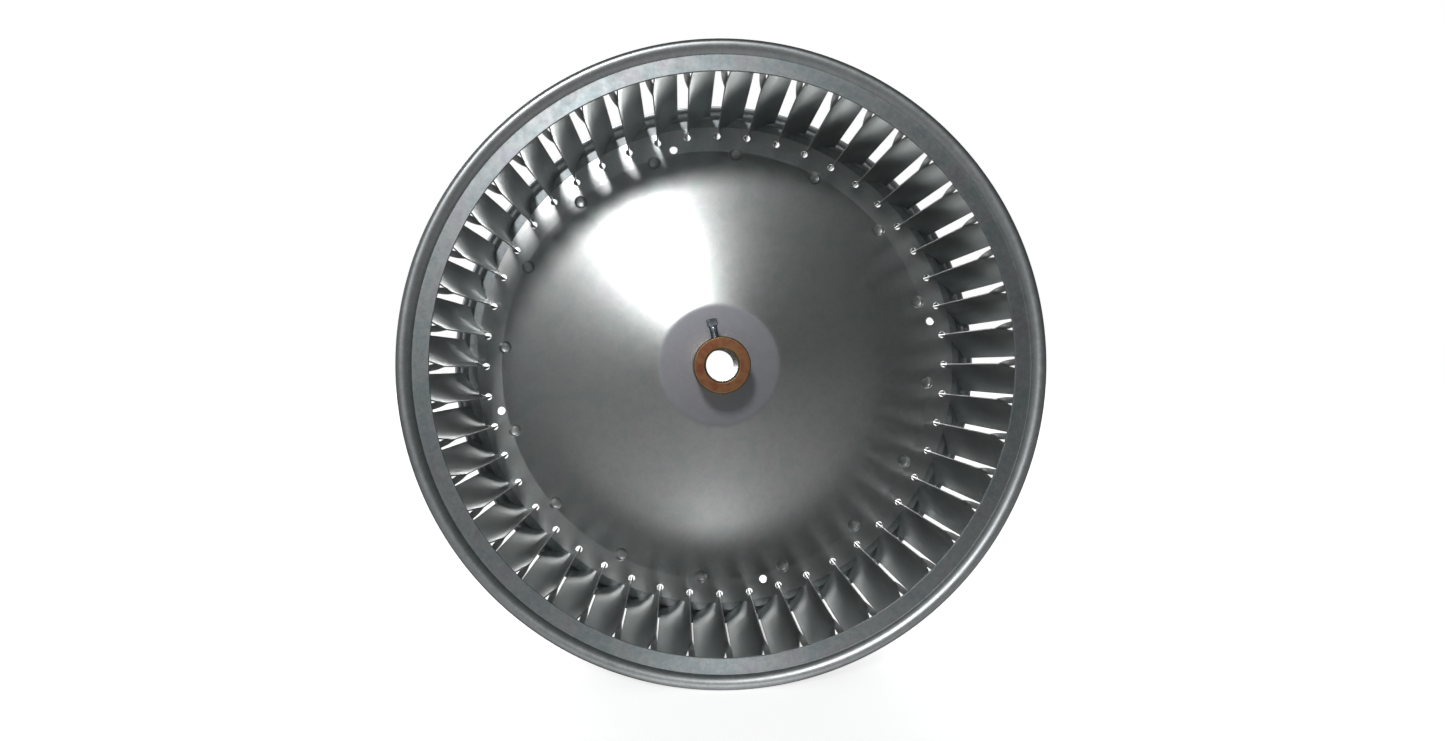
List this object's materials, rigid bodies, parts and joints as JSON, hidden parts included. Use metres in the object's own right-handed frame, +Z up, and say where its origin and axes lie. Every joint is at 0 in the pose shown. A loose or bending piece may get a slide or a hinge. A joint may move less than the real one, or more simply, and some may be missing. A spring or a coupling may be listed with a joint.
{
  "type": "blower wheel",
  "caption": "Single-inlet forward-curved blower wheel: curved blades between two rolled end rings, a dished slotted disc, and a bored hub with a square-head set screw.",
  "frame": {"origin": "the centre of the wheel, on its axis and midway between the two rolled beads", "axes": "+Y along the wheel's axis from the inlet to the closed, motor side; +Z up and +X to the right, seen from the inlet"},
  "size_m": [0.2858, 0.1016, 0.2858],
  "materials": {
    "galvanised_rings": "hot-dip galvanised sheet, satin, fine spangle",
    "galvanised_disc": "hot-dip galvanised sheet, semi-gloss, pressed",
    "galvanised_blades": "hot-dip galvanised sheet, semi-gloss",
    "hub_yellow_chromate": "turned steel, zinc plated with a yellow chromate",
    "screw_bright_zinc": "bright zinc plate"
  },
  "bodies": {
    "wheel": {"front_ring": "galvanised_rings", "rear_ring": "galvanised_rings", "centre_disc": "galvanised_disc", "hub": "hub_yellow_chromate", "blade_01": "galvanised_blades", "blade_02": "galvanised_blades", "blade_03": "galvanised_blades", "blade_04": "galvanised_blades", "blade_05": "galvanised_blades", "blade_06": "galvanised_blades", "blade_07": "galvanised_blades", "blade_08": "galvanised_blades", "blade_09": "galvanised_blades", "blade_10": "galvanised_blades", "blade_11": "galvanised_blades", "blade_12": "galvanised_blades", "blade_13": "galvanised_blades", "blade_14": "galvanised_blades", "blade_15": "galvanised_blades", "blade_16": "galvanised_blades", "blade_17": "galvanised_blades", "blade_18": "galvanised_blades", "blade_19": "galvanised_blades", "blade_20": "galvanised_blades", "blade_21": "galvanised_blades", "blade_22": "galvanised_blades", "blade_23": "galvanised_blades", "blade_24": "galvanised_blades", "blade_25": "galvanised_blades", "blade_26": "galvanised_blades", "blade_27": "galvanised_blades", "blade_28": "galvanised_blades", "blade_29": "galvanised_blades", "blade_30": "galvanised_blades", "blade_31": "galvanised_blades", "blade_32": "galvanised_blades", "blade_33": "galvanised_blades", "blade_34": "galvanised_blades", "blade_35": "galvanised_blades", "blade_36": "galvanised_blades", "blade_37": "galvanised_blades", "blade_38": "galvanised_blades", "blade_39": "galvanised_blades", "blade_40": "galvanised_blades", "blade_41": "galvanised_blades", "blade_42": "galvanised_blades", "blade_43": "galvanised_blades", "blade_44": "galvanised_blades", "blade_45": "galvanised_blades", "blade_46": "galvanised_blades", "blade_47": "galvanised_blades", "blade_48": "galvanised_blades"},
    "set_screw": {"set_screw": "screw_bright_zinc"}
  },
  "joints": [
    {"name": "set_screw_travel", "type": "slide", "parent": "wheel", "child": "set_screw", "axis": [-0.2164, 0, 0.9763], "range_m": [-0.0055, 0.0045]}
  ]
}
